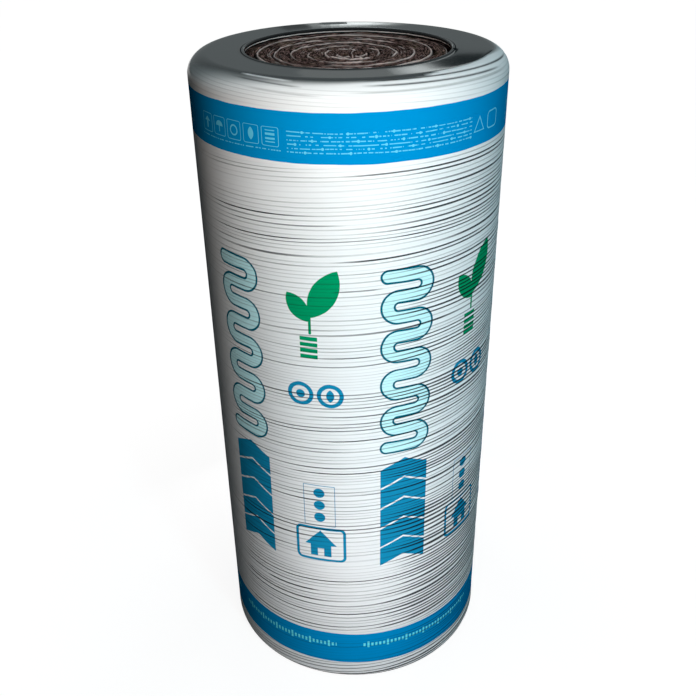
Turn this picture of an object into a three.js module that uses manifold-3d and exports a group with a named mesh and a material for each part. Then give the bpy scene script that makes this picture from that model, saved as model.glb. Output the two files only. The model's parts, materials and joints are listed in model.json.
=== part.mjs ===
// A roll of glass mineral wool in a printed polyethylene sleeve, standing on one end.
// The mat is wound up into one solid cylinder with a small eye, and its turns show on both ends.
// The sleeve shrinks round the cylinder: it rounds the upper edge widely and the lower one, which
// carries the roll, tightly. It turns in over both ends, where it stops in a rolled lip and leaves
// a round mouth through which the turns are seen.
// Millimetres, +Z up, origin at the middle of the lower end.

import * as THREE from 'three';
import { mergeVertices } from 'three/addons/utils/BufferGeometryUtils.js';
import Module from 'manifold-3d';

const wasm = await Module();
wasm.setup();

// Driving dimensions
const ROLL_WIDTH = 1200;        // height of the standing roll, the width of the mat
const ROLL_DIAMETER = 530;      // outside the sleeve
const SHOULDER_RADIUS = 33;     // rounding of the upper outer edge
const BASE_EDGE_RADIUS = 12;    // rounding of the lower outer edge, pressed flat by the roll's weight
const MOUTH_RADIUS = 170;       // clear radius inside the rolled lip
const LIP_RADIUS = 6;           // rounding of the lip, on its outer face
const FILM_THICKNESS = 1.2;
const FIT_GAP = 0.3;            // between the sleeve and the wool
const EYE_RADIUS = 5;           // bore that the first turn leaves
const TURN_PITCH = 28;          // thickness of one rolled-up turn
const START_ANGLE = 75;         // degrees from +X at which the first turn leaves the eye
const JOINT_WIDTH = 5;          // V between the rounded edges of two turns, at the end face
const JOINT_DEPTH = 6;
const WOOL_RECESS = 10;         // depth of the wool below the sleeve's end plane, inside the mouth

// Facets
const ROUND_STEPS = 64;         // round the roll
const EDGE_STEPS = 5;           // round the shoulder and round the lower edge
const LIP_STEPS = 2;
const TURN_STEPS = 32;          // along one turn of the joint

const OUTER_RADIUS = ROLL_DIAMETER / 2;
const shoulderCentre = OUTER_RADIUS - SHOULDER_RADIUS;
const lipCentre = MOUTH_RADIUS + LIP_RADIUS;
const woolInset = FILM_THICKNESS + FIT_GAP;
const recessRadius = MOUTH_RADIUS + woolInset;

// The sleeve's outline over the upper end at a depth below its outer face, as [radius, height] points
// from the lip to the top of the side: two round corners joined by a flat ring.
function sleeveLine(depth, edgeRadius) {
  const lip = new THREE.Path();
  lip.absarc(lipCentre, ROLL_WIDTH - LIP_RADIUS, LIP_RADIUS - depth, Math.PI, Math.PI / 2, true);
  const edge = new THREE.Path();
  edge.absarc(OUTER_RADIUS - edgeRadius, ROLL_WIDTH - edgeRadius, edgeRadius - depth, Math.PI / 2, 0, true);
  return [...lip.getSpacedPoints(LIP_STEPS), ...edge.getSpacedPoints(EDGE_STEPS)];
}

// An upper end's points put on the lower end, in the order that carries on down the side.
function onLowerEnd(points) {
  return points.map((point) => new THREE.Vector2(point.x, ROLL_WIDTH - point.y)).reverse();
}

// Turns an outline of [radius, height] points about the roll's axis into a closed solid.
function turned(outline) {
  const geometry = new THREE.LatheGeometry([...outline, outline[0]], ROUND_STEPS);
  geometry.rotateX(Math.PI / 2);
  return closed(geometry);
}

// Drops normals and uvs and joins the vertices that share a place.
function closed(geometry) {
  geometry.deleteAttribute('normal');
  geometry.deleteAttribute('uv');
  return mergeVertices(geometry, 1e-4);
}

function toSolid(geometry) {
  return new wasm.Manifold(new wasm.Mesh({
    numProp: 3,
    vertProperties: new Float32Array(geometry.attributes.position.array),
    triVerts: new Uint32Array(geometry.index.array),
  }));
}

function toGeometry(solid) {
  const mesh = solid.getMesh();
  const geometry = new THREE.BufferGeometry();
  geometry.setAttribute('position', new THREE.BufferAttribute(mesh.vertProperties, 3));
  geometry.setIndex(new THREE.BufferAttribute(mesh.triVerts, 1));
  return geometry;
}

// The whole outline at a depth below the sleeve's outer face, from the upper lip to the lower one.
function wholeLine(depth) {
  return [...sleeveLine(depth, SHOULDER_RADIUS), ...onLowerEnd(sleeveLine(depth, BASE_EDGE_RADIUS))];
}

// Sleeve: up along its outer face and back down along its inner one.
function filmWrapGeometry() {
  return turned([...wholeLine(0).reverse(), ...wholeLine(FILM_THICKNESS)]);
}

// Height of the wool's upper end at a radius: level inside the mouth, then a step up round the lip
// to the underside of the sleeve's flat ring.
function endHeight(radius) {
  const inMouth = ROLL_WIDTH - WOOL_RECESS;
  const underRing = ROLL_WIDTH - woolInset;
  return THREE.MathUtils.mapLinear(
    THREE.MathUtils.clamp(radius, recessRadius, lipCentre),
    recessRadius, lipCentre, inMouth, underRing,
  );
}

// Middle line of the joint between the turns at one end: an even spiral on that end's face,
// radius = eye + pitch * turns, from the eye to where the shoulder's rounding starts. Seen from
// above it opens anticlockwise on both ends, because the joint goes right through the roll.
class JointLine extends THREE.Curve {
  constructor(upper) {
    super();
    this.upper = upper;
    this.turns = (shoulderCentre - EYE_RADIUS) / TURN_PITCH;
  }

  getPoint(t) {
    const radius = EYE_RADIUS + TURN_PITCH * this.turns * t;
    const angle = THREE.MathUtils.degToRad(START_ANGLE) + 2 * Math.PI * this.turns * t;
    const height = endHeight(radius);
    return new THREE.Vector3(
      radius * Math.cos(angle),
      radius * Math.sin(angle),
      this.upper ? height : ROLL_WIDTH - height,
    );
  }

  // Steps go by equal angles, so that the tight inner turns stay as round as the outer ones.
  getUtoTmapping(u) {
    return u;
  }
}

// Cutter for the joint at one end: a V that opens outwards, carried along the spiral.
function jointCutter(upper) {
  const outward = upper ? -1 : 1;
  const clear = JOINT_DEPTH;
  const halfWidth = (JOINT_WIDTH / 2) * (1 + clear / JOINT_DEPTH);
  const section = new THREE.Shape([
    new THREE.Vector2(-outward * JOINT_DEPTH, 0),
    new THREE.Vector2(outward * clear, halfWidth),
    new THREE.Vector2(outward * clear, -halfWidth),
  ]);
  const line = new JointLine(upper);
  const steps = Math.round(line.turns * TURN_STEPS);
  return closed(new THREE.ExtrudeGeometry(section, { steps, extrudePath: line, bevelEnabled: false }));
}

// Wool: it fills the sleeve up to the fit gap, lies recessed inside the mouth and is bored at the eye.
function woolRollGeometry() {
  const inMouth = [
    new THREE.Vector2(EYE_RADIUS, ROLL_WIDTH - WOOL_RECESS),
    new THREE.Vector2(recessRadius, ROLL_WIDTH - WOOL_RECESS),
  ];
  const outline = [...inMouth, ...wholeLine(woolInset), ...onLowerEnd(inMouth)];
  const blank = toSolid(turned(outline.reverse()));
  const wound = blank.subtract(toSolid(jointCutter(true))).subtract(toSolid(jointCutter(false)));
  return toGeometry(wound);
}

const woolMaterial = new THREE.MeshStandardMaterial({ color: 0x5a4339, roughness: 0.95, metalness: 0 });
const filmMaterial = new THREE.MeshStandardMaterial({ color: 0xe9ecee, roughness: 0.3, metalness: 0 });

const wool = new THREE.Mesh(woolRollGeometry(), woolMaterial);
wool.name = 'wool_roll';

const film = new THREE.Mesh(filmWrapGeometry(), filmMaterial);
film.name = 'film_wrap';

const roll = new THREE.Group();
roll.name = 'insulation_roll';
roll.add(wool, film);

export default roll;
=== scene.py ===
"""An insulation roll standing on one end: a wound mat of brown glass mineral wool in a printed
white polyethylene sleeve, turned in over both ends. Metres, +Z up, origin under the middle."""

import json
import math

import bpy
import numpy as np
from mathutils import Matrix, Vector

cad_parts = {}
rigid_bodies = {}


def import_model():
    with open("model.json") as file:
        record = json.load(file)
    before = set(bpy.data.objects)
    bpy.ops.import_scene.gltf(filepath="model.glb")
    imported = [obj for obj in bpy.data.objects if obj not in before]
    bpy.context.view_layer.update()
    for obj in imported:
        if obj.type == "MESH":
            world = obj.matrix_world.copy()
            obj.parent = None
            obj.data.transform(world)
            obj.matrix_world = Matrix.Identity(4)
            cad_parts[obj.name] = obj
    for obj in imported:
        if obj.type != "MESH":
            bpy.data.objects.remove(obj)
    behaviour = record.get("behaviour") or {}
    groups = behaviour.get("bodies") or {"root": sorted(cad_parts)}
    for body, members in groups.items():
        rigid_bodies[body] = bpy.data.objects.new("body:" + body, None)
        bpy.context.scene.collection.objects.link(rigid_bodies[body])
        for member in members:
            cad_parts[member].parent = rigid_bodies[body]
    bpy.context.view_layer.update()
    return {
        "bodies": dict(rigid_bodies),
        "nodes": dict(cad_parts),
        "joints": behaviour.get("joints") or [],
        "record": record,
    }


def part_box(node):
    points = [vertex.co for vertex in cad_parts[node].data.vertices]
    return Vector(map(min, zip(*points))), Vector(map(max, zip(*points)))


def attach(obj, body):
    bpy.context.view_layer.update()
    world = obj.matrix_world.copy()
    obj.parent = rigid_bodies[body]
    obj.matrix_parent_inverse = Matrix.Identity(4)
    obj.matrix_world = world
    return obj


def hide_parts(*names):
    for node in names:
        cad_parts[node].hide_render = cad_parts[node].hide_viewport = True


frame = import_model()


# ---------------------------------------------------------------------------------------------
# The wool: a mat of brown glass wool, wound up under pressure. Its cut edge shows in the mouth of
# the sleeve as a spiral of soft turns, with a light fringe of fibres along the joints and a
# doubled-over start in the middle.
wool_low, wool_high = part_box("wool_roll")
wool_radius = (wool_high.x - wool_low.x) / 2
eye_radius = 0.005
start_angle = math.radians(75)
turn_pitch = 0.028
recess_radius = 0.1715          # the step up to the underside of the sleeve's ring
recess_top_radius = 0.1760
recess_depth = 0.0065           # at the mouth's edge, below the roll's end
dish_depth = 0.006              # how much deeper the middle lies
end_columns = 288
upper_rows, lower_rows = 240, 70
# The folded start in the middle, as two pads: middle x and y, then half width and half length.
pads = ((-0.006, -0.017, 0.013, 0.019), (0.018, -0.004, 0.0135, 0.025))


def soft_noise(seed, round_cells, long_cells, around, along):
    """A smooth random field from -1 to 1. Random values stand at the corners of a grid that closes
    on itself round the roll, and smoothstep weights join them. around is in turns of the roll,
    along goes from 0 to 1."""
    corners = np.random.default_rng(seed).uniform(-1, 1, (round_cells, long_cells + 1))
    a = np.mod(around, 1) * round_cells
    b = np.clip(along, 0, 0.9999) * long_cells
    a_low, b_low = np.floor(a).astype(int) % round_cells, np.floor(b).astype(int)
    a_high, b_high = (a_low + 1) % round_cells, b_low + 1
    a_part, b_part = a - np.floor(a), b - b_low
    a_part, b_part = (t * t * (3 - 2 * t) for t in (a_part, b_part))
    near = corners[a_low, b_low] * (1 - b_part) + corners[a_low, b_high] * b_part
    far = corners[a_high, b_low] * (1 - b_part) + corners[a_high, b_high] * b_part
    return near * (1 - a_part) + far * a_part


def bell(distance, width):
    """1 on a line and falling off as exp(-(distance / width)^2)."""
    return np.exp(-((distance / width) ** 2))


def smooth_step(low, high, value):
    """0 below low, 1 above high and 3t^2 - 2t^3 between them."""
    t = np.clip((value - low) / (high - low), 0, 1)
    return t * t * (3 - 2 * t)


def wound_end(radius, angle, seed, folded):
    """Depth of the wool's end face below the roll's end, with its light fringe and its dark gaps,
    all over radius and angle. The joint between the turns is the spiral radius = eye + pitch *
    turns, pushed in and out a little; a turn is crowned between two joints, and its outer edge
    carries the fringe. Thin layers inside a turn are noise that runs long round the roll. The
    third value is painted shade: dark in the open joints, the eye, the cleft round the folded
    start and the ring next to the lip."""
    around, out = angle / (2 * math.pi), radius / recess_radius
    push = 0.0028 * soft_noise(seed, 7, 5, around, out)
    push = push + 0.0011 * soft_noise(seed + 1, 19, 14, around, out)
    turns = (radius + push - eye_radius) / turn_pitch - (angle - start_angle) / (2 * math.pi)
    part = np.mod(turns, 1)
    from_joint = np.minimum(part, 1 - part) * turn_pitch
    before_joint = (1 - part) * turn_pitch
    outermost = smooth_step(0.128, 0.136, radius)
    open_joint = smooth_step(-0.9, 0.5, soft_noise(seed + 2, 9, 6, around, out))
    # An open joint sinks, and its dark is painted shade.
    gap = bell(from_joint, 0.0017) * np.maximum(open_joint, outermost)
    frayed = smooth_step(-0.75, 0.25, soft_noise(seed + 3, 11, 6, around, out))
    # The ring next to the lip sinks, loses its fringe and is painted in shade.
    squeezed_and_shaded = smooth_step(0.157, 0.167, radius)
    fringe = bell(before_joint - 0.0034, 0.0010) * np.maximum(frayed, outermost)
    fringe = fringe * (1 - 0.8 * squeezed_and_shaded)
    fringe = fringe * (1.05 + 0.50 * soft_noise(seed + 7, 61, 17, around, out))
    crown = (from_joint / (turn_pitch / 2)) ** 0.5
    layers = soft_noise(seed + 4, 17, 44, around, out)
    layers = layers + 0.6 * soft_noise(seed + 5, 40, 90, around, out)
    clumps = soft_noise(seed + 6, 31, 13, around, out)
    depth = recess_depth + dish_depth * (1 - out**4) + 0 * angle
    depth += 0.0030 * squeezed_and_shaded
    depth += 0.0042 * gap - 0.0016 * fringe - 0.0012 * crown - 0.00065 * layers - 0.0009 * clumps
    fringe += 0.40 * bell(layers - 1.0, 0.16)
    if folded:
        x, y = radius * np.cos(angle), radius * np.sin(angle)
        for middle_x, middle_y, half_x, half_y in pads:
            far = np.hypot((x - middle_x) / half_x, (y - middle_y) / half_y)
            inside = smooth_step(1.35, 1.1, far)
            # The cleft round each pad sinks and is painted in shade.
            rim, cleft = 0.8 * bell(far - 0.93, 0.07), bell(far - 1.22, 0.11)
            depth += inside * (0.0035 * gap - 0.0022 * np.clip(1 - far**2, 0, 1))
            depth += 0.0032 * cleft - 0.0010 * rim
            fringe = fringe * (1 - inside) + rim
            gap = gap * (1 - inside) + cleft
    # The eye sinks and is painted in shade.
    eye = bell(radius, eye_radius * 0.8) + 0 * angle
    return depth + 0.012 * eye, np.clip(fringe, 0, 1), np.clip(gap + eye + 0.7 * squeezed_and_shaded, 0, 1)


def closed_skin(name, x, y, z, pole_low=None, pole_high=None):
    """A mesh over a grid of points whose columns close on themselves round the roll. The first and
    last rows close in a fan on a pole each, or else the rows close on themselves too."""
    rows, columns = x.shape
    points = np.stack([x, y, z], -1).reshape(-1, 3)
    number = np.arange(rows * columns).reshape(rows, columns)
    after = np.roll(number, -1, axis=1)
    if pole_low is None:
        below, below_after = number, after
        above, above_after = np.roll(number, -1, 0), np.roll(after, -1, 0)
    else:
        below, below_after = number[:-1], after[:-1]
        above, above_after = number[1:], after[1:]
    quads = np.stack([below, below_after, above_after, above], -1).reshape(-1, 4)
    faces = quads.tolist()
    if pole_low is not None:
        points = np.vstack([points, pole_low, pole_high])
        first, last = rows * columns, rows * columns + 1
        faces += np.stack([np.full(columns, first), after[0], number[0]], -1).tolist()
        faces += np.stack([np.full(columns, last), number[-1], after[-1]], -1).tolist()
    mesh = bpy.data.meshes.new(name)
    mesh.from_pydata(points.tolist(), [], faces)
    mesh.shade_smooth()
    piece = bpy.data.objects.new(name, mesh)
    bpy.context.scene.collection.objects.link(piece)
    return piece


def paint(piece, name, values):
    """Stores one number for each point of the mesh under an attribute's name."""
    attribute = piece.data.attributes.new(name, "FLOAT", "POINT")
    attribute.data.foreach_set("value", np.ascontiguousarray(values, dtype=np.float32).ravel())


def lay_out(piece, corners):
    """Says where each corner of each face lies on a flat square from 0 to 1, for baked colours. No
    two faces lie over each other there."""
    layer = piece.data.uv_layers.new(name="OFBake")
    layer.uv.foreach_set("vector", np.ascontiguousarray(corners, dtype=np.float32).ravel())


def strip_corners(round_edges, long_edges):
    """The four corners of each face of a strip, from the edges of its columns and of its rows."""
    left, right = round_edges[:-1], round_edges[1:]
    low, high = long_edges[:-1], long_edges[1:]
    u = np.stack([left, right, right, left], -1)[None]
    v = np.stack([low, low, high, high], -1)[:, None]
    return np.stack(np.broadcast_arrays(u, v), -1).reshape(-1, 2)


def disc_corners(flat, pole, pole_row, turned):
    """The four corners of each face between a disc's rings, and the three of each face of the fan
    on its pole; turned fans start on the ring's own point."""
    after = np.roll(flat, -1, axis=1)
    quads = np.stack([flat[:-1], after[:-1], after[1:], flat[1:]], 2).reshape(-1, 2)
    ring, next_ring = flat[pole_row], after[pole_row]
    if not turned:
        ring, next_ring = next_ring, ring
    fan = np.stack([np.broadcast_to(pole, ring.shape), ring, next_ring], 1)
    return quads, fan.reshape(-1, 2)


angle = np.linspace(0, 2 * math.pi, end_columns, endpoint=False)[None, :]
upper_r = np.linspace(0, recess_radius, upper_rows + 1)[1:, None]
lower_r = np.linspace(0, recess_radius, lower_rows + 1)[1:, None]
upper_depth, upper_fringe, upper_gap = wound_end(upper_r, angle, seed=11, folded=True)
lower_depth, lower_fringe, lower_gap = wound_end(lower_r, angle, seed=71, folded=False)
shoulder, base_edge = 0.033, 0.012
upper_turn = np.linspace(0, math.pi / 2, 5)
lower_turn = np.linspace(math.pi / 2, 0, 4)
side_r = np.concatenate([
    [recess_top_radius], wool_radius - base_edge + base_edge * np.cos(lower_turn),
    wool_radius - shoulder + shoulder * np.cos(upper_turn), [recess_top_radius],
])
side_z = np.concatenate([
    [wool_low.z], wool_low.z + base_edge - base_edge * np.sin(lower_turn),
    wool_high.z - shoulder + shoulder * np.sin(upper_turn), [wool_high.z],
])
outer = np.ones_like(angle)
roll_height = wool_high.z + wool_low.z
wool_r = np.vstack([lower_r * outer, side_r[:, None] * outer, upper_r[::-1] * outer])
wool_z = np.vstack([lower_depth, side_z[:, None] * outer, roll_height - upper_depth[::-1]])
wool = closed_skin(
    "wool_roll_turns", wool_r * np.cos(angle), wool_r * np.sin(angle), wool_z,
    pole_low=[0, 0, lower_depth[0].mean()], pole_high=[0, 0, roll_height - upper_depth[0].mean()],
)
across_disc = np.stack([wool_r * np.cos(angle), wool_r * np.sin(angle)], -1)
across_disc = across_disc / (2 * recess_radius) + 0.5
lower_flat = [0.77, 0.01] + 0.22 * across_disc[:lower_rows]
upper_flat = [0.01, 0.01] + 0.74 * across_disc[-upper_rows:]
lower_quads, lower_fan = disc_corners(lower_flat, [0.88, 0.12], 0, turned=False)
upper_quads, upper_fan = disc_corners(upper_flat, [0.38, 0.38], -1, turned=True)
side_quads = strip_corners(
    np.linspace(0.77, 0.99, end_columns + 1), np.linspace(0.26, 0.99, len(side_r) + 2),
)
lay_out(wool, np.vstack([lower_quads, side_quads, upper_quads, lower_fan, upper_fan]))
hidden = np.zeros((len(side_r), end_columns))
paint(wool, "fringe", np.append(np.vstack([lower_fringe, hidden, upper_fringe[::-1]]), [0, 0]))
# The painted shade of the wool: open joints, the eye and the ring next to the lip.
paint(wool, "gap", np.append(np.vstack([lower_gap, hidden, upper_gap[::-1]]), [1, 1]))


class Number:
    """A number that varies over a surface, built up from Math nodes by plain arithmetic."""

    def __init__(self, nodes, socket):
        self.nodes, self.socket = nodes, socket

    def math(self, operation, *others, clamp=False):
        node = self.nodes.new("ShaderNodeMath")
        node.operation, node.use_clamp = operation, clamp
        for slot, value in enumerate((self, *others)):
            if isinstance(value, Number):
                self.nodes.id_data.links.new(value.socket, node.inputs[slot])
            else:
                node.inputs[slot].default_value = value
        return Number(self.nodes, node.outputs[0])

    def constant(self, value):
        node = self.nodes.new("ShaderNodeValue")
        node.outputs[0].default_value = value
        return Number(self.nodes, node.outputs[0])

    def __add__(self, other):
        return self.math("ADD", other)

    __radd__ = __add__

    def __sub__(self, other):
        return self.math("SUBTRACT", other)

    def __rsub__(self, other):
        return self.constant(other) - self

    def __mul__(self, other):
        return self.math("MULTIPLY", other)

    __rmul__ = __mul__

    def __truediv__(self, other):
        return self.math("DIVIDE", other)

    def __neg__(self):
        return self * -1

    def __abs__(self):
        return self.math("ABSOLUTE")

    def least(self, other):
        return self.math("MINIMUM", other)

    def most(self, other):
        return self.math("MAXIMUM", other)

    def wrapped(self, period):
        return self.math("FLOORED_MODULO", period)

    def clamped(self):
        return self.math("ADD", 0, clamp=True)


def new_material(name):
    """A material with its Principled shader, its nodes and a short way to link them."""
    material = bpy.data.materials.new(name)
    material.use_nodes = True
    nodes = material.node_tree.nodes
    return material, nodes, material.node_tree.links.new, nodes["Principled BSDF"]


def place(nodes, link):
    """The point's own x, y and z on the piece, in metres."""
    parts = nodes.new("ShaderNodeSeparateXYZ")
    link(nodes.new("ShaderNodeTexCoord").outputs["Object"], parts.inputs[0])
    return [Number(nodes, parts.outputs[axis]) for axis in range(3)]


def grain(nodes, link, x, y, z, detail=4, roughness=0.6):
    """Fractal noise, 0 to 1, over three Numbers."""
    where = nodes.new("ShaderNodeCombineXYZ")
    for axis, value in enumerate((x, y, z)):
        link(value.socket, where.inputs[axis])
    noise = nodes.new("ShaderNodeTexNoise")
    noise.inputs["Scale"].default_value = 1
    noise.inputs["Detail"].default_value = detail
    noise.inputs["Roughness"].default_value = roughness
    link(where.outputs[0], noise.inputs["Vector"])
    return Number(nodes, noise.outputs["Fac"])


def blended(nodes, link, below, above, amount):
    """A colour that goes from below to above by amount; each is a colour or a node's output."""
    mix = nodes.new("ShaderNodeMix")
    mix.data_type = "RGBA"
    link(amount.socket, mix.inputs["Factor"])
    for index, colour in ((6, below), (7, above)):
        if isinstance(colour, bpy.types.NodeSocket):
            link(colour, mix.inputs[index])
        else:
            mix.inputs[index].default_value = (*colour, 1)
    return mix.outputs[2]


def painted(nodes, name):
    """The attribute of that name on the mesh."""
    node = nodes.new("ShaderNodeAttribute")
    node.attribute_name = name
    return Number(nodes, node.outputs["Fac"])


def wool_material():
    """Matted brown fibres: streaks that follow the turns, painted dark as shade in the joints, in
    the eye and next to the lip, and light on the fringes, with a bump of fine layers."""
    material, nodes, link, shader = new_material("glass_wool")
    x, y, z = place(nodes, link)
    radius = (x * x + y * y).math("SQRT").most(0.001)
    east, north = x / radius, y / radius
    streaks = grain(nodes, link, radius * 560, east * 9, north * 9, detail=5, roughness=0.62)
    fibres = grain(nodes, link, x * 900, y * 900, z * 900, detail=3)
    patches = grain(nodes, link, x * 45, y * 45, z * 45, detail=2)
    fringe, gap = painted(nodes, "fringe"), painted(nodes, "gap")
    light = ((streaks - 0.47) * 6.0).clamped()
    colour = blended(nodes, link, (0.012, 0.005, 0.004), (0.400, 0.238, 0.210), light)
    yellowed = ((patches - 0.50) * 2.4).clamped() * 0.4
    colour = blended(nodes, link, colour, (0.230, 0.180, 0.105), yellowed)
    pale = fringe * (fibres * 1.2 + 0.6).clamped()
    colour = blended(nodes, link, colour, (1.0, 0.80, 0.74), pale)
    # Painted shade in the open joints, the eye and the ring next to the lip.
    colour = blended(nodes, link, colour, (0.008, 0.005, 0.005), gap.clamped())
    link(colour, shader.inputs["Base Color"])
    shader.inputs["Roughness"].default_value = 0.92
    shader.inputs["Specular IOR Level"].default_value = 0.0
    bump = nodes.new("ShaderNodeBump")
    bump.inputs["Distance"].default_value = 0.0012
    bump.inputs["Strength"].default_value = 0.9
    link((streaks * 0.7 + fibres * 0.3).socket, bump.inputs["Height"])
    link(bump.outputs[0], shader.inputs["Normal"])
    return material


wool.data.materials.append(wool_material())
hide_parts("wool_roll")
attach(wool, "root")


# ---------------------------------------------------------------------------------------------
# The sleeve: blown polyethylene film, printed in blue and green, wrapped round the roll with a lap
# at the back and shrunk on. It lies in fine level creases on the side, is drawn tight over the
# shoulder and turns in over both ends to a small rolled lip round the mouth.
film_low, film_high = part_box("film_wrap")
film_radius = (film_high.x - film_low.x) / 2
film_top = film_high.z
shoulder_radius, base_radius = 0.033, 0.012
lip_radius, lip_inner = 0.0024, 0.170
lip_neck = 0.0034               # from the middle of the lip's bead out to the flat of the end
top_wall, base_wall = 0.0098, 0.0090    # how far the film goes into the upper and lower mouth
wall, push_limit = 0.0013, 0.0010       # the wall, and how far its outer face may go in or out
round_columns, side_steps = 96, 880
lap_step, lap_width = 0.0005, 0.060
top_sink = 0.0007               # how much the top falls from the shoulder to the lip


def arc_points(centre_r, centre_z, radius, start, end, steps):
    """Points of an arc in the r-z plane, with their outward normals; angles in degrees from +r."""
    turn = np.radians(np.linspace(start, end, steps))
    normal = np.stack([np.cos(turn), np.sin(turn)], -1)
    return np.array([centre_r, centre_z]) + radius * normal, normal


def line_points(start, end, normal, steps):
    """Points of a straight run in the r-z plane without its two ends."""
    part = np.linspace(0, 1, steps + 2)[1:-1, None]
    points = np.array(start) * (1 - part) + np.array(end) * part
    return points, np.tile(np.array(normal, float), (steps, 1))


def sleeve_outline():
    """The sleeve's outer face from the upper lip over the shoulder and down to the lower lip, as
    points and normals in the r-z plane."""
    bead_r = lip_inner + lip_radius
    top_r, base_r = film_radius - shoulder_radius, film_radius - base_radius
    side_r = film_radius
    runs = [
        line_points(
            (lip_inner, film_top - top_wall), (lip_inner, film_top - lip_radius), (-1, 0), 3,
        ),
        arc_points(bead_r, film_top - lip_radius + 0.0004, lip_radius, 180, 62, 7),
        line_points((bead_r + lip_neck, film_top - top_sink), (top_r, film_top), (0, 1), 16),
        arc_points(top_r, film_top - shoulder_radius, shoulder_radius, 90, 0, 40),
        line_points(
            (side_r, film_top - shoulder_radius), (side_r, base_radius), (1, 0), side_steps,
        ),
        arc_points(base_r, base_radius, base_radius, 0, -90, 9),
        line_points((base_r, 0), (bead_r + lip_neck, 0.0003), (0, -1), 5),
        arc_points(bead_r, lip_radius + 0.0002, lip_radius, -62, -180, 5),
        line_points((lip_inner, lip_radius), (lip_inner, base_wall), (-1, 0), 2),
    ]
    return np.vstack([run[0] for run in runs]), np.vstack([run[1] for run in runs])


outline, outward = sleeve_outline()
run_length = np.concatenate([[0], np.cumsum(np.hypot(*np.diff(outline, axis=0).T))])
side_top = film_top - shoulder_radius
first_side = int(np.argmin(np.hypot(outline[:, 0] - film_radius, outline[:, 1] - side_top)))
# z on the side, carried on over the shoulder and under the base as the length along the film.
height = side_top + run_length[first_side] - run_length
seam = -math.pi
columns = np.sort(np.concatenate([
    np.linspace(seam, math.pi, round_columns, endpoint=False),
    [seam + 0.004, seam + lap_width / film_radius],
]))
phi = columns[None, :]              # 0 in front, growing towards +X
level = height[:, None]


def between(value, start, full, still_full, end):
    """1 from full to still_full and 0 before start and past end, with smooth steps between."""
    return smooth_step(start, full, value) * smooth_step(end, still_full, value)


arc = phi * film_radius
around = phi / (2 * math.pi)
on_side = smooth_step(1.155, 1.125, level)
side_rise = 0.011 * np.sin(phi - 0.35) + 0.003 * np.sin(2 * phi + 1)
# The creases rise and fall a little round the roll, and slant is the height with that taken out.
slant = level - side_rise * on_side + 0.0084 * np.sin(phi) * (1 - on_side)
slant = slant + 0.0040 * soft_noise(202, 5, 16, around, level / 1.3)
slant = slant + 0.0020 * soft_noise(209, 7, 46, around, level / 1.3)

# The level creases lie 5 to 13 mm apart, most of them 6 to 8. The film comes out a little from each
# crease down to the next and is tucked back in there, like shallow roof tiles. Phase counts the
# creases up the side, and tuck is how deep the nearest one is.
crease_count = 200
chance = np.random.default_rng(203)
gaps = 0.0050 + 0.0055 * chance.uniform(0, 1, crease_count) ** 2.6
crease_at = np.cumsum(gaps * np.linspace(1.30, 0.96, crease_count)) - 0.02
phase = np.interp(slant, crease_at, np.arange(crease_count))
nearest = np.round(phase).astype(int)
beside = phase - nearest
turned = chance.uniform(0, 1, crease_count)[nearest]
own_run = soft_noise(204, 8, crease_count, around + turned, nearest / crease_count)
bundle = soft_noise(205, 7, 30, around, slant / 1.3)
# How deep the creases are by their place round the roll, and a little more towards the foot.
strength = np.interp(
    arc,
    (-0.83, -0.45, -0.33, -0.27, -0.23, -0.18, -0.12, 0.00,
     0.04, 0.08, 0.12, 0.16, 0.21, 0.30, 0.40, 0.83),
    (0.60, 0.55, 0.33, 0.36, 0.46, 0.50, 0.42, 0.34,
     0.40, 0.50, 0.74, 0.98, 1.10, 1.08, 0.60, 0.60),
) * np.ones_like(level)
foot = smooth_step(0.32, 0.17, level) * smooth_step(-0.24, -0.10, arc)
strength = strength + 0.60 * foot * np.clip(1.1 - strength, 0, 1)
strength = strength + 0.20 * smooth_step(0.95, 0.35, level)
# Where they are deeper or shallower than that, as a share of it. Each place starts, is full, is
# still full and ends at four heights and at four arc lengths.
anywhere = (-2, -1, 2, 3)
changes = (
    (0.90, (-2, -1, 0.40, 0.85), (0.06, 0.20, 0.29, 0.42)),         # at the lower right
    (0.70, (0.86, 0.92, 2, 3), (-0.36, -0.28, -0.12, -0.04)),       # at the upper left
    (-0.55, (1.042, 1.052, 2, 3), (-2, -1, 0.06, 0.16)),            # under the upper band
    (-1.00, (1.070, 1.083, 2, 3), anywhere),                        # on the upper band and over it
    (-0.80, (0.036, 0.046, 0.125, 0.135), anywhere),                # on the lower band
    (0.90, (-2, -1, 0.035, 0.045), anywhere),                       # under the lower band
    (-0.70, (-2, -1, 1.14, 1.15), (-0.50, -0.42, -0.272, -0.232)),  # at the left edge
)
for share, heights, arcs in changes:
    strength = strength * (1 + share * between(level, *heights) * between(arc, *arcs))
# Three calm strips, where the creases are about half as deep or less, and a place at the upper
# left that is a little calmer.
calm = 0.8 * bell(level - 1.037, 0.014) * smooth_step(0.20, 0.04, arc)
calm = calm + 0.6 * bell(level - 0.462, 0.016) * between(arc, -0.08, -0.03, 0.40, 0.45)
calm = calm + 0.45 * bell(level - 0.570, 0.030) * between(arc, -0.06, 0.0, 0.09, 0.15)
high_left = smooth_step(1.00, 1.03, level) * between(arc, -0.45, -0.35, -0.15, -0.05)
strength = strength * np.clip(1 - calm - 0.25 * high_left, 0.1, 1)
# Faint ones start again where the side turns into the shoulder.
above_band = between(level, 1.160, 1.170, 1.185, 1.200)
strength = strength + above_band * (0.12 + 0.12 * smooth_step(0.02, 0.20, arc))
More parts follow.
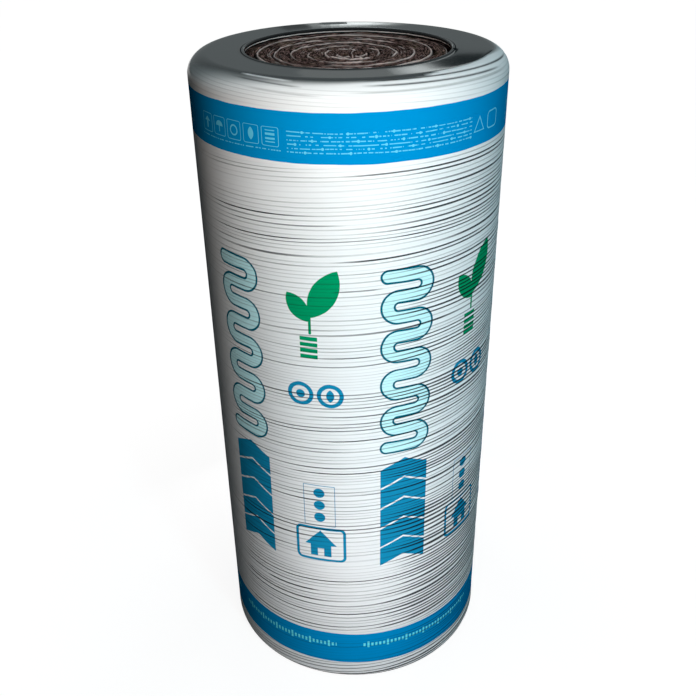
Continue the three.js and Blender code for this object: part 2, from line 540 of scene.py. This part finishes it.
# Each crease runs deep for a while and dies down to the slightest again. On the right more of
# them run deep, and how many changes with the height.
bold = chance.uniform(-1, 1, crease_count)[nearest]
crowded = np.interp(
    level,
    (0.03, 0.20, 0.24, 0.28, 0.34, 0.42, 0.46, 0.51,
     0.58, 0.74, 0.82, 0.88, 0.93, 0.97, 1.005, 1.035),
    (0.25, 0.35, 0.15, 0.45, 0.20, 0.40, -0.1, 0.25,
     0.00, 0.15, 0.00, 0.25, 0.00, 0.00, 0.50, 0.00),
) * between(arc, 0.03, 0.12, 0.32, 0.42) + 0.12 * bell(arc - 0.26, 0.05)
runs = smooth_step(-0.62, 0.62, 0.45 * own_run + 0.35 * bundle + 0.25 * bold + crowded)
slightest, deepest = 0.18, 1.9
tuck = np.clip(strength, 0, deepest) * (slightest + (1 - slightest) * runs ** 2)
# The longest creases: from and to along the arc, their height, and how deep they are.
long_creases = (
    (-0.045, 0.310, 1.071, 0.5), (0.195, 0.330, 1.000, 1.0), (0.035, 0.310, 0.970, 0.8),
    (-0.250, 0.010, 0.985, 0.4), (-0.240, 0.110, 0.957, 0.4), (-0.060, 0.310, 0.940, 0.6),
    (0.035, 0.160, 0.911, 0.6), (-0.040, 0.060, 0.880, 0.4), (0.135, 0.310, 0.843, 0.8),
    (-0.070, 0.045, 0.760, 0.5), (0.130, 0.335, 0.738, 0.8), (-0.120, 0.335, 0.602, 0.7),
    (-0.165, 0.285, 0.523, 1.0), (0.140, 0.335, 0.498, 1.0), (0.130, 0.320, 0.454, 0.8),
    (0.130, 0.310, 0.413, 1.0), (0.005, 0.305, 0.274, 0.8), (-0.205, -0.060, 0.228, 0.7),
    (0.050, 0.300, 0.215, 1.0), (0.010, 0.285, 0.149, 1.0),
)
for start, end, z_middle, amount in long_creases:
    row = np.abs(height - z_middle).argmin()
    column = np.abs(arc[0] - (start + end) / 2).argmin()
    ours = nearest == np.abs(crease_at - slant[row, column]).argmin()
    part = (arc - start) / (end - start)
    tuck = np.maximum(tuck, amount * ours * between(part, 0, 0.25, 0.75, 1))
bulge = soft_noise(206, 9, 90, around, slant / 1.3)
bulge = bulge + 0.7 * soft_noise(207, 5, 34, around, slant / 1.3)
tile = 0.5 * np.sign(beside) - beside
push = 0.00026 * bulge * strength + 0.0007 * np.minimum(tuck, 0.8) * tile
over_shoulder = (level - side_top) / shoulder_radius    # radians round the shoulder, 0 at the side


def shoulder_fold(start, end, low, high, depth, sag, width):
    """A valley across the shoulder from one arc length to another. Its line goes straight from the
    angle low to the angle high and sags by a parabola, its section is a bell, and it runs out at
    both ends. 0 to 1."""
    part = (arc - start) / (end - start)
    line = low + (high - low) * part - sag * 4 * part * (1 - part)
    valley = depth * between(part, 0, 0.18, 0.82, 1) * bell(over_shoulder - line, width)
    return np.clip(valley, 0, 1)


# Creases over the shoulder: from and to along the arc, the angle at each end, depth and sag.
shoulder_creases = (
    (0.00, 0.40, 1.19, 0.78, 1.3, -0.12), (0.01, 0.31, 0.89, 0.65, 1.1, -0.06),
    (-0.02, 0.34, 0.57, 0.45, 0.5, -0.04), (-0.20, -0.07, 1.03, 0.80, 0.8, -0.03),
    (-0.17, -0.04, 0.63, 0.42, 0.4, 0.0), (0.36, 0.70, 0.60, 1.00, 0.5, 0.0),
)
# Their valleys are also painted dark, as shade.
fold_shade = np.zeros_like(slant)
for shoulder_crease in shoulder_creases:
    valley = shoulder_fold(*shoulder_crease, width=0.045)
    fold_shade = np.maximum(fold_shade, valley)
    push = push - 0.0006 * valley
# One small pucker left of the front, which is raised; on the grey end it is a painted highlight.
pucker = shoulder_fold(-0.19, -0.09, 1.28, 1.10, 1.2, -0.03, width=0.05)
push = push + 0.0005 * pucker
ring_wave = 0.00006 * soft_noise(208, 14, 3, around, np.clip(over_shoulder / 3.2, 0, 1))
push = push + ring_wave * smooth_step(1.3, 1.9, over_shoulder)
# The film lies see-through on the wool over the ends. Round the shoulder it turns white again, at
# an angle and over a width that change round the roll. On the left the grey reaches far down the
# shoulder as painted shade.
clear_at = np.radians([-180, -110, -75, -50, -25, -6, 4, 26, 34, 68, 85, 120, 180])
clear_end = np.interp(phi, clear_at, np.radians([32, 60, 66, 42, 31, 28, 25, 22, 4, 4, 22, 24, 32]))
clear_fade = np.interp(phi, clear_at, np.radians([18, 30, 34, 32, 17, 12, 9, 4, 5, 6, 16, 20, 18]))
from_top = math.pi / 2 - over_shoulder
clear_film_and_painted_light = smooth_step(clear_end + clear_fade, clear_end - clear_fade, from_top)
# The pucker's white on the grey end is a painted highlight.
clear_film_and_painted_light = np.maximum(clear_film_and_painted_light * (1 - 0.8 * pucker), smooth_step(0.0, -0.006, level))
lapped = (phi - seam < lap_width / film_radius) & (phi - seam > 0.002)
push = push + lap_step * lapped * smooth_step(2.2, 1.2, over_shoulder)
push = np.clip(push, -push_limit, push_limit)
under = smooth_step(0, base_radius, outline[:, 1][:, None])     # nothing stands out below the base
push = np.where(level < base_radius, np.minimum(push, 0) * under, push)

outer_r = outline[:, 0][:, None] + push * outward[:, 0][:, None]
outer_z = outline[:, 1][:, None] + push * outward[:, 1][:, None]
# The inner face, which is hidden, has fewer rows: 26 all along, and more at the lip and shoulder.
inner_rows = np.linspace(len(outline) - 1, 0, 26).astype(int)
shoulder_rows = np.arange(first_side - 38, first_side + 1, 6)
keep = np.unique(np.concatenate([inner_rows, np.arange(0, 12), shoulder_rows]))[::-1]
inner_r = (outline[keep, 0] - wall * outward[keep, 0])[:, None] * np.ones_like(phi)
inner_z = (outline[keep, 1] - wall * outward[keep, 1])[:, None] * np.ones_like(phi)
film_r, film_z = np.vstack([outer_r, inner_r]), np.vstack([outer_z, inner_z])
film = closed_skin("film_sleeve", film_r * np.sin(phi), -film_r * np.cos(phi), film_z)
column_edges = np.append(columns - columns[0], 2 * math.pi) / (2 * math.pi)
outer_share = 0.97              # of the flat square; the hidden inner face gets the rest
outer_edges = run_length / run_length[-1] * outer_share
inner_edges = np.linspace(outer_share, 1, len(keep) + 2)[1:]
lay_out(film, strip_corners(column_edges, np.append(outer_edges, inner_edges)))
# The painted shade of the shoulder's valleys.
paint(film, "fold_shade", np.vstack([fold_shade, np.zeros_like(inner_r)]))
paint(film, "phase", np.vstack([phase, phase[keep]]))
paint(film, "clear_film_and_painted_light", np.vstack([clear_film_and_painted_light, clear_film_and_painted_light[keep]]))
paint(film, "tuck", np.vstack([tuck, tuck[keep]]))


girth_scale = film_radius * 1000
blue_ink, deep_blue = (0.0, 0.270, 0.610), (0.0075, 0.262, 0.470)
teal_ink, pale_ink = (0.0, 0.125, 0.190), (0.58, 0.92, 0.96)
green_ink, band_ink, scale_ink = (0.0, 0.300, 0.120), (0.16, 0.70, 0.90), (0.18, 0.96, 1.0)
# The rest of the print and of the ends is in millimetres.
groove_radius, mouth_shade_radius = 176.0, 182.0      # beside the lip's bead, and where the painted shade of the mouth starts
pale_line_height = 1194.2               # the height of a pale line painted round the mouth's inner wall
column_pitch, column_shift = 300, 115   # along the arc, for the printed columns
gap_at, gap_more = -311, 52     # where one gap between columns is wider, and by how much
band_pitch = 600                # along the arc, for the signs on the bands
signs_at, mats_at = 50, 206.5   # the middles of the two printed columns in a pitch
upper_middle, upper_half = 1121.2, 37.5     # the bands' middle heights and half widths
lower_middle, lower_half = 84.2, 39.9


def disc(x, z, radius):
    """Signed distance to a disc, in millimetres, negative inside."""
    return (x * x + z * z).math("SQRT") - radius


def block(x, z, half_width, half_height, corner=0.0):
    """Signed distance to a rectangle with rounded corners."""
    over_x = abs(x) - (half_width - corner)
    over_z = abs(z) - (half_height - corner)
    out_x, out_z = over_x.most(0), over_z.most(0)
    outside = (out_x * out_x + out_z * out_z).math("SQRT")
    return outside + over_x.most(over_z).least(0) - corner


def stroke(shape, width):
    """The outline of a shape, as a line of that width."""
    return abs(shape) - width / 2


def ink(shape, soft=0.5):
    """How much ink lies there, from a signed distance: 1 inside, 0 outside, with a soft edge."""
    return (0.5 - shape / soft).clamped()


def leaf(x, z, lean, length, width):
    """A pointed leaf from its foot at 0, 0: where two equal discs overlap."""
    turned_x = x * math.cos(lean) - z * math.sin(lean)
    turned_z = x * math.sin(lean) + z * math.cos(lean) - length / 2
    radius = (length**2 / 4 + width**2 / 4) / width
    off = radius - width / 2
    return disc(turned_x - off, turned_z, radius).most(disc(turned_x + off, turned_z, radius))


def chevrons(x, z):
    """Five solid chevrons that point up, parted by thin slits."""
    climb = z - 300 - 0.45 * (45 - abs(x))
    return (abs(x) - 45).most(abs(climb - 113) - 113).most(1.9 - abs((climb + 23).wrapped(46) - 23))


def laid_mat(x, z):
    """A mat laid to and fro in ten runs, the drawing sign for insulation. Its middle line is level
    runs joined by half circles, first on the right; the first and last run end in round caps."""
    run, half = 36.4, 11.0
    bend_start = 45 - half - run / 2
    lift = z - 573
    near = (lift - x.math("SIGN") * (run / 2) + run).wrapped(2 * run) - run
    bend = (abs(x) - bend_start).most(0)
    wound = abs((bend * bend + near * near).math("SQRT") - run / 2) - half
    wound = wound.most(abs(lift - 4.5 * run) - 4.5 * run - half)
    cap_x, cap_z = (abs(x) - 45 + half).most(0), abs(abs(lift - 4.5 * run) - 4.5 * run)
    cap = (cap_x * cap_x + cap_z * cap_z).math("SQRT") - half
    at_end = x.math("LESS_THAN", 0) * abs(lift - 4.5 * run).math("GREATER_THAN", 4 * run)
    return wound * (1 - at_end) + cap * at_end


def small_signs(x, z):
    """The blue signs between the columns: a house in a rounded frame, three beads in a thin one and
    a pair of rings round a spot and a drop."""
    walls = block(x, z - 342, 20, 17)
    gable = (abs(x) * 0.76 + (z - 388) * 0.65).most(352 - z)
    house = walls.least(gable).most(-block(x, z - 334, 6, 10))
    frame = stroke(block(x, z - 354, 45.5, 37.5, 9), 5.5)
    card = stroke(block(x, z - 445, 29, 46, 1), 1.1)
    beads = disc(x, (z - 405).wrapped(28) - 14, 10.5).most(abs(z - 447) - 42)
    rings = stroke(disc(abs(x) - 26, z - 684, 19.5), 7.5)
    spot = disc(x + 26, z - 684, 8)
    drop = leaf(x - 26, z - 671.5, 0, 25, 14)
    return frame.least(house).least(card).least(beads).least(rings).least(spot).least(drop)


def sprout(x, z):
    """A green shoot with two leaves, standing on a strip of bars."""
    leaves = leaf(x + 4, z - 830, 0.50, 96, 44).least(leaf(x + 6, z - 822, -0.62, 62, 32))
    stalk = block(x + 5, z - 818, 2.4, 18, 2)
    bars = block(x + 8, (z - 753).wrapped(11) - 5.5, 15, 3.7, 1).most(abs(z - 775) - 22)
    return leaves.least(stalk).least(bars)


def upper_band_signs(nodes, link, along, z):
    """Fine pale print on the upper band: five framed marks over a caption line, rows of short
    dashes with spots, then a triangle and a rounded square."""
    tile_pitch, tiles_start = 34, 26
    tile = (along - tiles_start).wrapped(tile_pitch) - tile_pitch / 2
    number = ((along - tiles_start) / tile_pitch).math("FLOOR")
    up = z - 1120
    in_tiles = abs(along - tiles_start - 2.5 * tile_pitch) - 2.5 * tile_pitch
    marks = (
        (abs(tile) + up - 9).most(1 - up).least(block(tile, up + 4, 2, 5)),
        disc(tile, up, 8.5).most(-up).least(block(tile, up + 4, 0.9, 5)),
        stroke(disc(tile, up, 7), 2.2),
        leaf(tile, up + 9, 0, 19, 10),
        block(tile, up.wrapped(6) - 3, 8, 1.5).most(abs(up) - 9),
    )
    shown = stroke(block(tile, up, 14, 14, 3), 1.1)
    for place_in_row, mark in enumerate(marks):
        absent = number.math("COMPARE", place_in_row, 0.5).math("LESS_THAN", 0.5)
        shown = shown.least(mark + absent * 50)
    line_step, lines_low = 5.9, 1097.0
    line_number = ((z - lines_low) / line_step).math("FLOOR")
    row = (z - lines_low).wrapped(line_step) - line_step / 2
    dashes_at = grain(nodes, link, along / 4.5, line_number * 7.31, line_number * 3.1, detail=1)
    dashes = (abs(row) - 0.8).most((0.47 - dashes_at) * 12)
    spots = disc((along + line_number * 41).wrapped(67) - 33, row, 2.1)
    caption = dashes.most(abs(line_number) - 0.5).most(in_tiles)
    in_rows = (abs(along - 355) - 149).most(abs(z - lines_low - 3 * line_step) - 3 * line_step)
    rows = dashes.least(spots).most(in_rows)
    triangle = stroke((abs(along - 523) * 0.87 + (z - 1128) * 0.5).most(1106 - z), 1.8)
    square = stroke(block(along - 561.5, z - 1117, 15, 13.5, 7), 2.2)
    return shown.most(in_tiles).least(caption).least(rows).least(triangle).least(square)


def lower_band_scale(along, z):
    """Pale marks like a rule's on the lower band, every fifth one longer."""
    fifth = (along / 8).math("FLOOR").wrapped(5).math("LESS_THAN", 0.5)
    tick = (abs(along.wrapped(8) - 4) - 2.1).most(abs(z - 94) - (4.5 + fifth * 4))
    return tick.most((abs(along - 143) - 117).least(abs(along - 447) - 134))


def crease_lines(nodes):
    """The level creases from the mesh's own count of them: the lowered middle on each whole number,
    which the film's colour also darkens as painted shade, the raised flanks beside it, which it
    also whitens as a painted highlight, both 0 to 1, and the rise from one crease down to the next."""
    phase, tuck = painted(nodes, "phase"), painted(nodes, "tuck")
    beside = phase - phase.math("ROUND")
    off = abs(beside) * (6.0 - tuck * 2.3).most(2.9)
    core = ((1 - off) * 1.9).clamped()
    flank_and_highlight = (1 - abs(off - 1.6) * 1.1).clamped()
    rise = beside.math("SIGN") * 0.5 - beside
    core = core * core * (3 - core * 2) * (tuck * 1.7).clamped()
    return core, flank_and_highlight * tuck.least(1.0), rise * tuck.least(1.2)


def bare_film(nodes, link, x, y, z, flank_and_highlight):
    """The film's colour: cloudy white, with painted shade along the creases and a painted
    highlight on their flanks.
    """
    clouds = grain(nodes, link, x * 6, y * 6, z * 40, detail=3)
    crease_shade = (painted(nodes, "tuck") - 0.25 - flank_and_highlight * 1.3).clamped() * 0.45
    cloudy = ((clouds - 0.45) * 2).clamped()
    colour = blended(nodes, link, (0.875, 0.90, 0.905), (0.81, 0.84, 0.85), cloudy)
    colour = blended(nodes, link, colour, (0.58, 0.60, 0.61), crease_shade)
    return blended(nodes, link, colour, (0.98, 0.99, 0.99), flank_and_highlight)


def printed(nodes, link, colour, x, y, z):
    """The print over that colour. It stands in columns that come again every 300 mm round the roll,
    past one wider gap on the left, between a blue band at each end. It wavers a little, as on film
    that has shrunk."""
    wander = grain(nodes, link, x * 9, y * 9, z * 60, detail=2)
    high = z * 1000 + (wander - 0.5) * 4
    arc = x.math("ARCTAN2", -y) * girth_scale
    past_gap = arc.math("LESS_THAN", gap_at)
    across = (arc + column_shift + past_gap * gap_more).wrapped(column_pitch)
    along = (arc + band_pitch / 2).wrapped(band_pitch)
    mat = laid_mat(across - mats_at, high)
    colour = blended(nodes, link, colour, pale_ink, ink(mat))
    colour = blended(nodes, link, colour, teal_ink, ink(stroke(mat, 3.6)))
    solid = chevrons(across - mats_at, high).least(small_signs(across - signs_at, high))
    colour = blended(nodes, link, colour, deep_blue, ink(solid))
    colour = blended(nodes, link, colour, green_ink, ink(sprout(across - signs_at, high)))
    upper_band = abs(high - upper_middle) - upper_half
    bands = upper_band.least(abs(high - lower_middle) - lower_half)
    colour = blended(nodes, link, colour, blue_ink, ink(bands))
    scale = ink(lower_band_scale(along, high), 0.7) * 0.80
    colour = blended(nodes, link, colour, scale_ink, scale)
    signs = ink(upper_band_signs(nodes, link, along, high), 0.7) * 0.75
    return blended(nodes, link, colour, band_ink, signs)


def film_material():
    """White film, printed, with fine creases in its bump, and painted shade and painted highlight
    along them in its colour. Over the ends it is slate grey and glossy, where it lies see-through
    on the dark wool; on the left the grey is carried far down the shoulder as painted shade.
    Painted shade makes it darkest beside the lip's bead and down in the mouth, and a pale line
    is painted round the mouth's inner wall."""
    material, nodes, link, shader = new_material("printed_film")
    x, y, z = place(nodes, link)
    core, flank_and_highlight, rise = crease_lines(nodes)
    colour = printed(nodes, link, bare_film(nodes, link, x, y, z, flank_and_highlight), x, y, z)
    out = (x * x + y * y).math("SQRT") * 1000
    on_end = (z.math("GREATER_THAN", 1.1) + z.math("LESS_THAN", 0.012)).clamped()
    end = painted(nodes, "clear_film_and_painted_light")
    streaks = grain(nodes, link, x * 22, y * 22, z * 22, detail=2)
    # Painted shade in a narrow ring beside the lip's bead, where the coat is taken off too.
    groove_shade = ((1 - abs(out - groove_radius) / 1.3) * 1.6).clamped() * on_end
    # Painted shade down the mouth's inner wall.
    mouth = ((mouth_shade_radius - out) / 5).clamped() * on_end
    # The slate grey of the film over the ends, which on the left is also painted shade.
    colour = blended(nodes, link, colour, (0.040, 0.048, 0.050), end)
    colour = blended(nodes, link, colour, (0.006, 0.008, 0.009), mouth * 0.9)
    # A pale line painted round the mouth's inner wall.
    from_pale_line = abs(z * 1000 - pale_line_height + (streaks - 0.5) * 2.5)
    in_mouth = (171.2 - out).clamped()
    pale_line = ((1.0 - from_pale_line) * 2).clamped() * in_mouth * (streaks * 1.6 + 0.1).clamped()
    colour = blended(nodes, link, colour, (0.95, 0.89, 0.86), pale_line)
    # Painted shade, near black, in the middle of each crease, in the shoulder's valleys and beside
    # the lip's bead.
    painted_shade = (painted(nodes, "fold_shade") * (0.5 + on_end * 0.45)).most(core).most(groove_shade).clamped()
    colour = blended(nodes, link, colour, (0.008, 0.013, 0.015), painted_shade * 0.95)
    link(colour, shader.inputs["Base Color"])
    shader.inputs["Specular IOR Level"].default_value = 0.0
    shader.inputs["Coat Roughness"].default_value = 0.04
    shader.inputs["Coat IOR"].default_value = 1.5
    link((end * (1 - groove_shade)).socket, shader.inputs["Coat Weight"])
    shader.inputs["Roughness"].default_value = 0.48
    pleats = grain(nodes, link, x * 14, y * 14, z * 330, detail=3, roughness=0.55)
    pleats = pleats * (0.22 - end * 0.20)
    bump = nodes.new("ShaderNodeBump")
    bump.inputs["Distance"].default_value = 0.001
    bump.inputs["Strength"].default_value = 1.0
    link((pleats + rise * 0.5 + flank_and_highlight * 0.35 - core * 0.8).socket, bump.inputs["Height"])
    link(bump.outputs[0], shader.inputs["Normal"])
    return material


film.data.materials.append(film_material())
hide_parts("film_wrap")
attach(film, "root")


# ---------------------------------------------------------------------------------------------
# The studio: a white floor that keeps a faint shadow, a dim grey band round the room and small
# cards that only the gloss sees, and soft lamps.
def stage_piece(name, points, faces, only_in_gloss=True):
    """A mesh of the studio. One that is only_in_gloss neither shows, nor lights, nor shades."""
    mesh = bpy.data.meshes.new(name)
    mesh.from_pydata(points, [], faces)
    piece = bpy.data.objects.new(name, mesh)
    bpy.context.scene.collection.objects.link(piece)
    if only_in_gloss:
        piece.visible_camera = piece.visible_diffuse = False
        piece.visible_shadow = piece.visible_transmission = False
    return piece


def glow(name, colour, strength):
    """A material that only shines."""
    material, _, _, shader = new_material(name)
    shader.inputs["Base Color"].default_value = (0, 0, 0, 1)
    shader.inputs["Specular IOR Level"].default_value = 0
    shader.inputs["Emission Color"].default_value = (*colour, 1)
    shader.inputs["Emission Strength"].default_value = strength
    return material


def seen_white(nodes):
    """1 for a ray from the camera, from gloss or through glass, which finds the studio white, and 0
    for the light that falls on the roll."""
    path = nodes.new("ShaderNodeLightPath")
    kinds = "Is Camera Ray", "Is Glossy Ray", "Is Transmission Ray"
    camera_ray, glossy_ray, clear_ray = (Number(nodes, path.outputs[kind]) for kind in kinds)
    return camera_ray.most(glossy_ray).most(clear_ray)


floor_corners = [(-12, -12, 0), (12, -12, 0), (12, 12, 0), (-12, 12, 0)]
floor = stage_piece("studio_floor", floor_corners, [(0, 1, 2, 3)], only_in_gloss=False)
floor_material, nodes, link, shader = new_material("white_floor")
x, y, z = place(nodes, link)
away = (((x * x + y * y).math("SQRT") - 0.35) / 0.8).clamped()
bright = seen_white(nodes) * (away * 0.10 + 0.90)
shader.inputs["Base Color"].default_value = (0.15, 0.15, 0.15, 1)
shader.inputs["Roughness"].default_value = 1
shader.inputs["Specular IOR Level"].default_value = 0
shader.inputs["Emission Color"].default_value = (1, 1, 1, 1)
link(bright.socket, shader.inputs["Emission Strength"])
floor.data.materials.append(floor_material)

band_angle = np.linspace(0, 2 * math.pi, 96, endpoint=False)[None, :]
band_z = np.array([1.00, 1.55, 2.6, 3.4])[:, None]
band_r = np.array([3.0, 3.0, 3.0, 0.01])[:, None]
ring_x, ring_y = band_r * np.cos(band_angle), band_r * np.sin(band_angle)
number = np.arange(ring_x.size).reshape(ring_x.shape)
after = np.roll(number, -1, 1)
band_faces = np.stack([number[:-1], after[:-1], after[1:], number[1:]], -1).reshape(-1, 4).tolist()
band_points = np.stack([ring_x, ring_y, band_z + 0 * ring_x], -1).reshape(-1, 3).tolist()
studio_band = stage_piece("studio_band", band_points, band_faces)
studio_band.data.materials.append(glow("grey_band", (0.90, 1.0, 1.02), 0.23))

eye_point = Vector((-0.007694, -1.505016, 1.481557))
card_plane = 1.6                # how far behind the roll's middle the cards stand
top_fall = top_sink / (film_radius - shoulder_radius - lip_inner - lip_radius - lip_neck)


def mirrored(reach, turn):
    """Where the camera's ray to a point of the roll's top, at a radius and an angle from the front,
    meets the plane of the cards once the top, which falls a little to the mouth, has turned it."""
    point = Vector((reach * math.sin(turn), -reach * math.cos(turn), film_top))
    facing = Vector((-math.sin(turn) * top_fall, math.cos(turn) * top_fall, 1)).normalized()
    ray = (point - eye_point).reflect(facing)
    return point + ray * ((card_plane - point.y) / ray.y)


# Cards that only the glossy top sees: from and to as angles round the top, and how they shine.
gloss_cards = (
    (-20, 17, 0.34), (17, 21, 0.70), (21, 25, 1.10), (25, 34, 1.35), (34, 38, 0.70),
    (40, 67, 0.0), (153, 158, 0.5), (158, 163, 1.1), (163, 168, 1.8), (168, 184, 2.4),
    (184, 189, 1.7), (189, 194, 1.0), (194, 199, 0.5), (-160, -145, 0.09),
)
card_inner, card_outer = 0.186, 0.300
for place_in_row, (first, last, shine) in enumerate(gloss_cards):
    turns = np.radians(np.linspace(first, last, 7))
    corners = [mirrored(card_inner, turn) for turn in turns]
    corners += [mirrored(card_outer, turn) for turn in turns[::-1]]
    name = "gloss_card_%d" % place_in_row
    gloss_card = stage_piece(name, corners, [tuple(range(len(corners)))])
    gloss_card.data.materials.append(glow(name, (0.93, 1.0, 1.0), shine))

world = bpy.data.worlds.new("studio")
bpy.context.scene.world = world
world.use_nodes = True
nodes, link = world.node_tree.nodes, world.node_tree.links.new
background = nodes["Background"]
background.inputs["Color"].default_value = (1, 1, 1, 1)
room_light = 0.015              # the little light that the room itself throws on the roll
room = seen_white(nodes) * (1 - room_light) + room_light
link(room.socket, background.inputs["Strength"])


def soft_lamp(name, azimuth, distance, height, width, tall, power, colour=(1, 1, 1), aim=0.8):
    """A rectangular lamp at an azimuth from the front, growing to the right, aimed at the axis."""
    turn = math.radians(azimuth)
    reach = distance + film_radius
    lamp = bpy.data.lights.new(name, "AREA")
    lamp.shape, lamp.size, lamp.size_y = "RECTANGLE", width, tall
    lamp.energy, lamp.color = power, colour
    obj = bpy.data.objects.new(name, lamp)
    obj.location = (reach * math.sin(turn), -reach * math.cos(turn), height)
    look = Vector((0, 0, height if tall > 0.8 else aim)) - obj.location
    obj.rotation_euler = look.to_track_quat("-Z", "Y").to_euler()
    obj.visible_camera = obj.visible_glossy = False
    bpy.context.scene.collection.objects.link(obj)


# A high key from the right, near lamps in front that wash the side from top to foot, and four at
# the back so that no side is dark.
soft_lamp("high_key", 30, 4.0, 6.5, 0.6, 0.6, 125, (0.47, 0.88, 1.0))
soft_lamp("near_top", 12, 0.6, 1.7, 0.3, 0.3, 2.2, (1.0, 0.90, 0.90), aim=1.0)
soft_lamp("near_strip", 0, 0.5, 0.7, 0.3, 1.2, 2.15, (0.99, 1.0, 0.99))
soft_lamp("near_middle", 0, 0.5, 1.3, 0.3, 0.3, 1.34, (1.0, 0.80, 0.69), aim=1.1)
soft_lamp("low_fill", 8, 0.5, 0.3, 0.3, 0.3, 0.95, (1.0, 0.80, 0.78), aim=0.25)
soft_lamp("right_strip", 31, 0.6, 0.8, 0.2, 1.1, 1.85, (0.57, 0.88, 1.0), aim=0.9)
soft_lamp("back_low", -174, 2.4, 0.9, 0.8, 0.8, 6, aim=0.6)
soft_lamp("back_left_strip", -146, 0.35, 0.62, 0.3, 1.05, 1.65)
soft_lamp("back_right_strip", 150, 0.35, 0.62, 0.3, 1.05, 1.45)
soft_lamp("back_high", 152, 2.2, 3.2, 0.8, 0.8, 14)

# The camera, at eye height and looking down.
camera_data = bpy.data.cameras.new("view")
camera_data.sensor_width, camera_data.lens = 36.0, 45.4905
camera = bpy.data.objects.new("view", camera_data)
tilt, roll = math.radians(29.5416), math.radians(0.91354)
camera.matrix_world = (
    Matrix.Translation(eye_point)
    @ Matrix.Rotation(math.pi / 2 - tilt, 4, "X")
    @ Matrix.Rotation(-roll, 4, "Z")
)
bpy.context.scene.collection.objects.link(camera)
bpy.context.scene.camera = camera
bpy.context.scene.view_settings.view_transform = "Standard"

bpy.context.view_layer.update()
